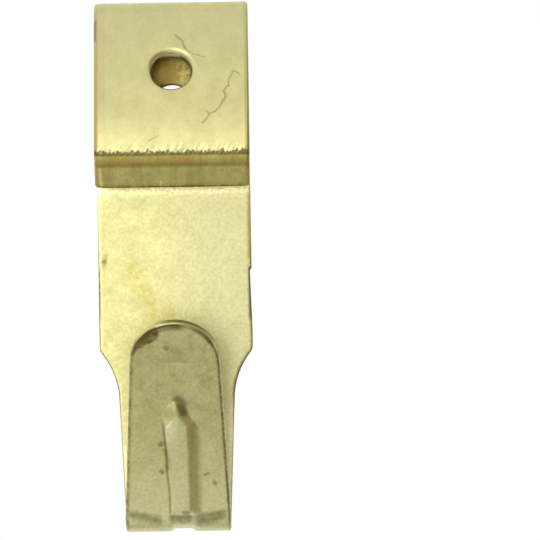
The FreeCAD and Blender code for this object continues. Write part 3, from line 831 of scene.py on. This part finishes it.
# Tints over the plain plating, painted light and shade among them, from the broadest to the finest.
TINTS = (
    # Deeper clouds all over, and painted shade that makes the plate greyer towards its right, away from the
    # lamp.
    Tint("#C0BA7E", 0.5, (Fade(Cloud(1.6, 4.0), 0.3, 0.7),)),
    Tint("#CCC698", 0.75, (DIE, ACROSS(-3.5, 6.0))),
    # Paler foot of the tongue: a painted reflection, brighter where the tongue tilts less.
    Tint("#E6E2AE", 0.85, (*ON_TONGUE, ALONG(71.5, 63.0))),
    # Leaf: deeper sides, painted shade in a dark line along the right edge, and a greyer top.
    Tint("#C4B088", 0.5, (*ON_LEAF, ACROSS(-5.4, -5.75))),
    Tint("#B5A850", 0.75, (*ON_LEAF, ACROSS(-6.1, -6.25))),
    Tint("#B5A850", 0.6, (*ON_LEAF, ACROSS(6.1, 6.2))),
    Tint("#5A5230", 0.8, (*ON_LEAF, ACROSS(6.36, 6.44))),
    Tint("#BFAF76", 0.12, ON_LEAF),
    Tint("#BFB98A", 0.5, (*ON_LEAF, ALONG(8.0, 14.5))),
    # Yellow line beside the plate's right edge.
    Tint("#C6B44C", 0.55, (DIE, *band(ACROSS, 6.12, 6.32, 0.06), *band(ALONG, 32.0, 39.0, 0.5))),
    # Lip: streaks along it, a brown band, painted shade in its crease, a darker blotchy end, and a jagged
    # line of painted shade just under the bend's highlight.
    Tint("#C4B45C", 0.5, ON_LIP),
    Tint("#9A8E48", 0.42, (*ON_LIP, Fade(Cloud(0.7, 3.0, 0.0, 4.0), 0.35, 0.7))),
    Tint("#BE9645", 0.6, (*ON_LIP, *band(ALONG, 2.3, 2.9, 0.08), Fade(Cloud(2.5), 0.3, 0.65))),
    Tint("#7A6526", 0.45, (*ON_LIP, ALONG(1.9, 2.14), ALONG(2.75, 2.16))),
    Tint("#6E6420", 0.6, (*ON_LIP, ALONG(0.6, 0.12), Fade(Cloud(0.5, 3.0), 0.3, 0.6))),
    Tint("#4A4212", 0.8, (PUNCH, TOOTH(3.16, 3.02), ALONG(2.84, 3.0))),
    # Inside of the loop: brown painted shade, deeper on the left and high up, paler and speckled on the
    # right with painted light.
    Tint("#86702F", 0.92, IN_LOOP),
    Tint("#6A5014", 0.25, (*IN_LOOP, ACROSS(0.6, -1.2))),
    Tint("#6A5014", 0.2, (*IN_LOOP, ALONG(23.6, 22.4))),
    Tint("#CDBF80", 0.45, (*IN_LOOP, SPECKS, ACROSS(-0.2, 1.0))),
    Tint("#CFC488", 0.3, (*IN_LOOP, ACROSS(-0.3, 1.2), ALONG(22.6, 24.2))),
    # Painted highlight on the upper wall of the leaf's hole.
    Tint("#FFF9CC", 0.9, (*IN_HOLE, ALONG(11.6, 12.4), ACROSS(-1.2, 0.2))),
    # Tarnish along the plate's edges, its shoulders and its neck.
    Tint("#6E6430", 0.8, (DIE, RIM(0.16, 0.05), ALONG(36.0, 40.0))),
    Tint("#5E5634", 0.75, (DIE, ACROSS(6.0, 6.4), *band(ALONG, 39.6, 43.6, 0.6))),
    Tint("#5E5634", 0.7, (DIE, ACROSS(-6.25, -6.45), *band(ALONG, 39.8, 43.4, 0.6))),
    Tint("#6A6236", 0.6, (DIE, RIM(0.36, 0.1), ACROSS(2.0, 3.0), *band(ALONG, 47.5, 50.0, 1.5))),
    # Plate: painted light under the lip against the lip's shadow, cloudy on the left, and painted light
    # beside the tongue against the tongue's shadow.
    Tint("#F1E9AC", 0.75, (*BELOW_LOOP, ALONG(35.0, 32.6))),
    Tint("#FFFBC0", 1.0, (*BELOW_LOOP, ALONG(33.3, 32.85))),
    Tint("#CBC271", 0.42, (
        DIE, ALONG(26.0, 30.0), ACROSS(3.0, -4.0), Fade(Cloud(0.55, 4.0), 0.42, 0.7),
    )),
    Tint("#F0E9B0", 0.3, (*ON_NECK, ACROSS(-2.0, -4.0))),
    Tint("#EADFB4", 0.7, (*ON_NECK, ACROSS(2.0, 4.0))),
    # Tongue: tarnished rims and cloudy upper half.
    Tint("#8E8148", 0.5, (*BELOW_TIP, RIM(0.4, 0.15))),
    Tint("#6E5C2C", 0.55, (*BELOW_TIP, RIM(0.36, 0.1), SPECKS)),
    Tint("#9A8C4E", 0.4, (*ON_TONGUE, ALONG(68.0, 77.0), Fade(Cloud(1.1, 4.0), 0.45, 0.7))),
    # Tip: painted shade along the rim of its face, deeper on the left, and a wall with painted highlights on
    # the left and painted shade on the right.
    Tint("#5F5222", 0.5, (*AT_TIP, OUT(0.32, 0.42), RIM(0.36, 0.05))),
    Tint("#4C411C", 0.9, (*AT_TIP, OUT(0.3, 0.4), RIM(0.6, 0.15), ACROSS(1.4, 0.2))),
    Tint("#EFE6B4", 0.7, (*AT_TIP, OUT(0.38, 0.28), RIM(0.1, 0.03), ACROSS(1.8, 0.2))),
    Tint("#6A5D2A", 0.6, (*AT_TIP, OUT(0.5, 0.36), ACROSS(0.4, 1.6))),
    Tint("#FFFBD2", 1.0, (
        *AT_TIP, RIM(0.1, 0.03), *band(OUT, 0.1, 0.3, 0.08), *band(ACROSS, -1.3, -0.1, 0.9),
    )),
    # Painted shade on the hook bend below the tongue; on the rib, a painted highlight along the crest and at
    # its upper left, and painted shade on its left flank and on the nose's left facet.
    Tint("#B0AA74", 0.35, (PUNCH, *band(ALONG, 60.2, 62.6, 0.4))),
    Tint("#EEEABC", 0.35, (*ON_TONGUE, RIB(0.7, 0.95))),
    Tint("#7A7448", 0.25, (
        *ON_TONGUE, *band(RIB, 0.02, 0.7, 0.02), ACROSS(0.0, -0.4), ALONG(73.6, 71.4),
    )),
    Tint("#8E8858", 0.14, (
        *ON_TONGUE, *band(RIB, 0.12, 0.66, 0.08), ALONG(71.9, 72.6), ACROSS(0.4, 0.1),
    )),
    Tint("#FBF8D4", 0.45, (
        *ON_TONGUE, RIB(0.7, 0.8), *band(ALONG, 70.8, 72.8, 0.8), ACROSS(0.4, -0.5),
    )),
    # Yellow stains on the plate.
    Tint("#C4B74E", 0.55, (Fade((
        Mark(((-3.74, 39.57), (-3.0, 40.86), (-2.17, 42.14), (-1.42, 43.25)), 0.25, Side.DIE),
        Mark(((-1.9, 43.9), (-0.7, 43.4)), 0.2, Side.DIE),
    ), 0.9, 0.0), Fade(BLOTCHES, 0.38, 0.62))),
    # Rust beside the rib and on the plate's left edge.
    Tint("#A08040", 0.5, (Fade((
        Mark(((-1.0, 69.42), (-0.78, 68.68), (-0.78, 67.94)), 0.04),
        Mark(((-6.05, 39.2), (-5.85, 38.3)), 0.0, Side.DIE),
    ), 0.4, 0.0),)),
    # Scratches on the leaf.
    Tint("#6B6026", 0.44, (Fade((
        Mark(((5.72, 9.87), (5.24, 10.15), (4.89, 9.45), (4.79, 8.81)), 0.02),
        Mark(((4.79, 8.81), (4.4, 8.28), (4.59, 7.79), (4.14, 6.96)), 0.05),
        Mark(((4.14, 6.96), (3.75, 6.45), (3.22, 6.2), (2.97, 5.8), (2.59, 5.42)), 0.025),
        Mark(((3.22, 6.2), (2.94, 6.46)), 0.02),
        Mark(((0.43, 13.52), (0.92, 13.08), (1.2, 12.32)), 0.05),
        Mark(((1.2, 12.32), (1.87, 11.76), (2.93, 11.48)), 0.0),
        Mark(((-1.93, 3.97), (-1.07, 4.4)), 0.0),
    ), 0.09, 0.0),)),
    # Painted shade in the pocket at the right of the rib's nose.
    Tint("#4A421E", 0.62, (Fade((
        Mark(((0.18, 73.92), (0.44, 73.6)), 0.24),
        Mark(((0.36, 73.55), (0.6, 72.9)), 0.08),
    ), 0.5, 0.0),)),
    # Dark blotchy patch at the tip's upper left.
    Tint("#594C1E", 0.88, (Fade((
        Mark(((-3.62, 78.75), (-3.25, 79.4)), 0.22),
        Mark(((-3.0, 79.65), (-2.4, 80.15)), 0.46),
        Mark(((-2.3, 80.15), (-1.95, 80.4)), 0.56),
    ), 0.22, 0.0), Fade(BLOTCHES, 0.38, 0.62, 0.65))),
    # Blotchy painted shade in the grooves at the tongue's foot.
    Tint("#646032", 0.7, (Fade((
        Mark(((-3.9, 63.55), (-2.8, 63.35), (-1.55, 63.12)), 0.02),
        Mark(((1.7, 63.15), (2.8, 63.3), (3.75, 63.5)), 0.14),
        Mark(((-0.5, 63.25), (1.0, 63.25)), 0.0),
    ), 0.5, 0.0), Fade(BLOTCHES, 0.38, 0.62, 0.8))),
    # Pale lines beside the rib's foot.
    Tint("#E6E2B4", 0.5, (Fade((
        Mark(((1.35, 62.7), (1.4, 64.3)), 0.08),
        Mark(((-1.25, 64.0), (-1.2, 62.8)), 0.04),
    ), 0.45, 0.0),)),
    # Single dark spots.
    Tint("#5E5424", 0.55, (Fade((
        Mark(((-0.69, 79.07),), 0.12),
        Mark(((-1.33, 69.98),), 0.1),
        Mark(((-1.3, 67.41),), 0.08),
        Mark(((3.14, 66.33),), 0.06),
        Mark(((2.3, 67.1), (2.55, 67.2)), 0.0),
        Mark(((0.55, 63.8), (0.75, 63.75)), 0.1),
        Mark(((-6.02, 38.85),), 0.06, Side.DIE),
        Mark(((-6.44, 15.0), (-6.44, 13.3)), 0.0),
    ), 0.28, 0.0),)),
    # Bright nicks on the lip.
    Tint("#F0E592", 0.7, (Fade((
        Mark(((-5.98, 0.4), (-6.02, 1.9)), 0.06),
        Mark(((-0.95, 0.75), (-0.96, 0.3)), 0.0),
        Mark(((5.95, 1.7),), 0.02),
    ), 0.14, 0.0),)),
)


class Pattern:
    """Masks on the sheet's faces, made from fades over its places on the flat blank."""

    # Distance between the two faces that keeps marks on one off the other, in millimetres.
    APART = 40.0
    # Width of the waves in the marks' borders, and how far they reach, in millimetres.
    WAVE_SIZE = 0.3
    WAVE_REACH = 0.22
    # How far the jagged border's teeth reach, in millimetres.
    TOOTH_REACH = 0.24
    # Roughness of the clouds' finer layers.
    CLOUD_ROUGHNESS = 0.6

    def __init__(self, tree: Tree, hole: float) -> None:
        """Read the piece's own attributes into the material's node tree.

        Args:
            tree: Node tree of the material.
            hole: Place along the strip of the leaf's hole.
        """
        self.tree = tree
        self.made: dict[tuple[Fade, ...], Socket] = {}
        self.blank = node(tree, "Attribute", {"attribute_name": "blank"}, "Vector")
        across, along, out = node(tree, "SeparateXYZ", _0=self.blank).node.outputs
        self.fields = {ACROSS: across, ALONG: along, OUT: out}
        for field, name in ((RIM, "rim"), (RIB, "rib")):
            self.fields[field] = node(tree, "Attribute", {"attribute_name": name}, "Fac")
        flat = node(tree, "CombineXYZ", _0=across, _1=along)
        middle = (0.0, hole, 0.0)
        self.fields[HOLE] = node(tree, "VectorMath", {"operation": "DISTANCE"}, "Value", _0=flat, _1=middle)
        teeth = self.mask((TEETH,))
        less = {"operation": "MULTIPLY_ADD"}
        self.fields[TOOTH] = node(tree, "Math", less, _0=teeth, _1=-self.TOOTH_REACH, _2=along)
        wave = node(tree, "TexNoise", None, "Color", Vector=self.blank, Scale=1 / self.WAVE_SIZE, Detail=2.0)
        wave = node(tree, "VectorMath", {"operation": "SUBTRACT"}, _0=wave, _1=(0.5, 0.5, 0.5))
        face = node(tree, "MapRange", _0=self.mask((PUNCH,)), _3=-self.APART / 2, _4=self.APART / 2)
        spread = node(tree, "CombineXYZ", _0=across, _1=along, _2=face)
        reach = (self.WAVE_REACH, self.WAVE_REACH, 0.0)
        self.place = node(tree, "VectorMath", {"operation": "MULTIPLY_ADD"}, _0=wave, _1=reach, _2=spread)

    def mask(self, fades: tuple[Fade, ...]) -> Socket:
        """Product of fades, with each fade and each product made once.

        Args:
            fades: The fades to multiply.

        Returns:
            The mask, from 0 to 1.
        """
        if fades not in self.made:
            *first, last = fades
            if first:
                product, fade = self.mask(tuple(first)), self.mask((last,))
                made = node(self.tree, "Math", {"operation": "MULTIPLY"}, _0=product, _1=fade)
            else:
                (start, at_start), (end, at_end) = sorted([(last.low, last.floor), (last.high, 1.0)])
                made = node(
                    self.tree, "MapRange", {"interpolation_type": "SMOOTHSTEP"},
                    _0=self.read(last.source), _1=start, _2=end, _3=at_start, _4=at_end,
                )
            self.made[fades] = made
        return self.made[fades]

    def read(self, source: Field | Cloud | tuple[Mark, ...]) -> Socket:
        """Values of a field or a cloud, or the distance from a group of marks."""
        makers = {Field: self.fields.get, Cloud: self.lumps, tuple: self.gap}
        return makers[type(source)](source)

    def lumps(self, cloud: Cloud) -> Socket:
        """Heights of a cloud.

        Args:
            cloud: The cloud's sizes.

        Returns:
            The heights, from 0 to 1.
        """
        place = node(
            self.tree, "Mapping", {"vector_type": "TEXTURE"}, Vector=self.blank,
            Rotation=(0.0, 0.0, math.radians(cloud.turn)),
            Scale=(cloud.size, cloud.size * cloud.stretch, cloud.size),
        )
        sizes = {"Scale": 1.0, "Detail": cloud.detail, "Roughness": self.CLOUD_ROUGHNESS}
        return node(self.tree, "TexNoise", Vector=place, **sizes)

    def gap(self, marks: Sequence[Mark]) -> Socket:
        """Distance from the nearest of the marks' borders.

        Args:
            marks: The marks, each a line of spots or one spot.

        Returns:
            The distance, below 0 inside a mark.
        """
        tree, nearest = self.tree, None
        for mark in marks:
            spots = [Vector((*spot, mark.side.value * self.APART / 2)) for spot in mark.spots]
            for start, end in zip(spots, spots[1:] or spots):
                run = end - start
                share = run / max(run.length_squared, TINY)
                reach = node(tree, "VectorMath", {"operation": "SUBTRACT"}, _0=self.place, _1=start)
                along = node(tree, "VectorMath", {"operation": "DOT_PRODUCT"}, "Value", _0=reach, _1=share)
                along = node(tree, "Clamp", _0=along)
                foot = node(tree, "VectorMath", {"operation": "SCALE"}, _0=run, Scale=along)
                away = node(tree, "VectorMath", {"operation": "DISTANCE"}, "Value", _0=reach, _1=foot)
                edge = node(tree, "Math", {"operation": "SUBTRACT"}, _0=away, _1=mark.width)
                if nearest is not None:
                    edge = node(tree, "Math", {"operation": "MINIMUM"}, _0=nearest, _1=edge)
                nearest = edge
        return nearest


@dataclass(frozen=True)
class BrassPlate:
    """Brass plating on drawn mild steel, barrel-tumbled: a satin metal, cloudy at close range.

    The bath leaves fine lumps a few tenths of a millimetre wide, and tarnish along sheared edges.
    Painted shade darkens the inside of the loop in brown, the creases, and the cracks where the skin
    was stretched. The flecks are fewer on the leaf, and the plate is rubbed smoother just under the
    lip, where painted light also brightens it.
    """

    hole: float
    pale: str = "#DCD69A"
    fleck: str = "#DCE0D0"
    fleck_share: float = 0.66
    leaf_fleck_share: float = 0.24
    roughness: float = 0.34
    smoothest: float = -0.05
    dullest: float = 0.07
    rubbed: float = 0.13
    grain_depth: float = 0.006

    def colour(self, sheet: Pattern) -> Socket:
        """Colour of the plating with its tints and flecks.

        Args:
            sheet: Mask maker of the sheet.

        Returns:
            The colour.
        """
        tree, tone = sheet.tree, linear(self.pale)
        blend, times = {"data_type": "RGBA"}, {"operation": "MULTIPLY"}
        for tint in TINTS:
            share = node(tree, "Math", times, _0=sheet.mask(tint.fades), _1=tint.strength)
            tone = node(tree, "Mix", blend, 2, _0=share, _6=tone, _7=linear(tint.colour))
        leaf = sheet.mask((PUNCH, *band(ALONG, 3.4, 17.0, 0.4)))
        amount = node(tree, "MapRange", _0=leaf, _3=self.fleck_share, _4=self.leaf_fleck_share)
        flecks = node(tree, "Math", times, _0=sheet.mask((FLECKS,)), _1=amount)
        darken = {"data_type": "RGBA", "blend_type": "MULTIPLY"}
        return node(tree, "Mix", darken, 2, _0=flecks, _6=tone, _7=linear(self.fleck))

    def make(self) -> bpy.types.Material:
        """Material with its nodes.

        Returns:
            The new material.
        """
        material = bpy.data.materials.new("brass_plated_steel")
        material.use_nodes = True
        tree = material.node_tree
        tree.nodes.clear()
        sheet = Pattern(tree, self.hole)
        dull = node(
            tree, "MapRange", _0=sheet.lumps(Cloud(1.3)),
            _3=self.roughness + self.smoothest, _4=self.roughness + self.dullest,
        )
        smooth = sheet.mask((*BELOW_LOOP, ALONG(33.7, 33.0)))
        dull = node(tree, "Math", {"operation": "MULTIPLY_ADD"}, _0=smooth, _1=-self.rubbed, _2=dull)
        height = sheet.lumps(Cloud(0.3, 3.0))
        bump = node(tree, "Bump", Height=height, Distance=self.grain_depth * MM, Strength=1.0)
        colour = self.colour(sheet)
        shader = node(
            tree, "BsdfPrincipled", Base_Color=colour, Metallic=1.0, Roughness=dull, Normal=bump
        )
        node(tree, "OutputMaterial", Surface=shader)
        return material


@dataclass
class Studio:
    """Pale floor, shading card, soft light and camera, in millimetres, degrees and watts."""

    floor_size: Point = (500.0, 410.0)
    floor_place: Place = (0.0, -195.0, -90.0)
    card_size: Point = (90.0, 130.0)
    card_place: Place = (55.0, -45.0, -25.0)
    card_turn: float = 70.0
    lamp_size: Point = (260.0, 440.0)
    lamp_place: Place = (-130.0, -400.0, 70.0)
    lamp_aim: Place = (0.0, 0.0, -14.0)
    lamp_power: float = 0.47
    camera_distance: float = 400.0
    frame_width: float = 45.98
    sensor_width: float = 36.0
    aim_across: float = 8.06
    aim_height: float = -14.15
    roll: float = 0.9

    def board(
        self, name: str, size: Point, place: Matrix, finish: str, colour: str, roughness: float
    ) -> Piece:
        """Flat board of one plain matt material.

        Args:
            name: The board's name.
            size: Its width and length, in millimetres.
            place: Turn and place of its middle.
            finish: Name of its material.
            colour: The material's sRGB hex value.
            roughness: The material's roughness.

        Returns:
            The board.
        """
        bpy.ops.object.select_all(action="DESELECT")
        bpy.ops.mesh.primitive_plane_add(size=1.0)
        board = bpy.context.active_object
        board.name = name
        board.data.transform(place @ Matrix.Diagonal((size[0] * MM, size[1] * MM, 1, 1)))
        material = bpy.data.materials.new(finish)
        material.use_nodes = True
        shader = material.node_tree.nodes["Principled BSDF"]
        shader.inputs["Base Color"].default_value = linear(colour)
        shader.inputs["Roughness"].default_value = roughness
        board.data.materials.append(material)
        return board

    def floor(self) -> None:
        """Pale matt board under the hook, that bounces a little light up."""
        place = Matrix.Translation(Vector(self.floor_place) * MM)
        floor = self.board("floor", self.floor_size, place, "pale_matt_board", "#D6D6D4", 0.9)

    def card(self) -> None:
        """Tan felt card on the right, out of the picture, that gives right-hand flanks their shade."""
        upright = Matrix.Rotation(math.radians(90), 4, "X")
        turn = Matrix.Rotation(math.radians(self.card_turn), 4, "Z")
        place = Matrix.Translation(Vector(self.card_place) * MM) @ turn @ upright
        card = self.board("dark_card", self.card_size, place, "tan_felt", "#A69D84", 1.0)
        card.visible_camera = False

    def light(self) -> None:
        """White surroundings and one broad soft lamp beside the camera."""
        world = bpy.data.worlds.new("white_room")
        bpy.context.scene.world = world
        world.use_nodes = True
        tree = world.node_tree
        tree.nodes.clear()
        back = node(tree, "Background", Color=(1.0, 1.0, 1.0, 1.0), Strength=1.0)
        node(tree, "OutputWorld", Surface=back)
        lamp = bpy.data.lights.new("softbox", "AREA")
        lamp.shape = "ELLIPSE"
        lamp.size, lamp.size_y = (side * MM for side in self.lamp_size)
        lamp.energy = self.lamp_power
        box = bpy.data.objects.new("softbox", lamp)
        bpy.context.collection.objects.link(box)
        box.location = Vector(self.lamp_place) * MM
        box.rotation_euler = (Vector(self.lamp_aim) * MM - box.location).to_track_quat("-Z", "Y").to_euler()

    def camera(self) -> None:
        """Camera at the photograph's angle."""
        data = bpy.data.cameras.new("camera")
        data.sensor_width = self.sensor_width
        data.lens = self.sensor_width * self.camera_distance / self.frame_width
        data.clip_start, data.clip_end = 0.01, 10.0
        camera = bpy.data.objects.new("camera", data)
        bpy.context.collection.objects.link(camera)
        camera.location = Vector((self.aim_across, -self.camera_distance, self.aim_height)) * MM
        camera.rotation_euler = (math.pi / 2, math.radians(self.roll), 0)
        bpy.context.scene.camera = camera


def main() -> None:
    """Build the hook, its stage, its light and its camera."""
    logging.basicConfig(level=logging.INFO, format="%(name)s: %(message)s")
    scene = bpy.context.scene
    scene.view_settings.view_transform = "Standard"
    hook = HookStrip()
    strip = hook.build()
    strip.data.materials.clear()
    strip.data.materials.append(BrassPlate(hook.entry_place).make())
    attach(strip, "root")
    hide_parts("picture_hook")
    LOG.info("%s: %d faces", strip.name, len(strip.data.polygons))
    studio = Studio()
    studio.floor()
    studio.card()
    studio.light()
    studio.camera()


if __name__ == "__main__":
    main()
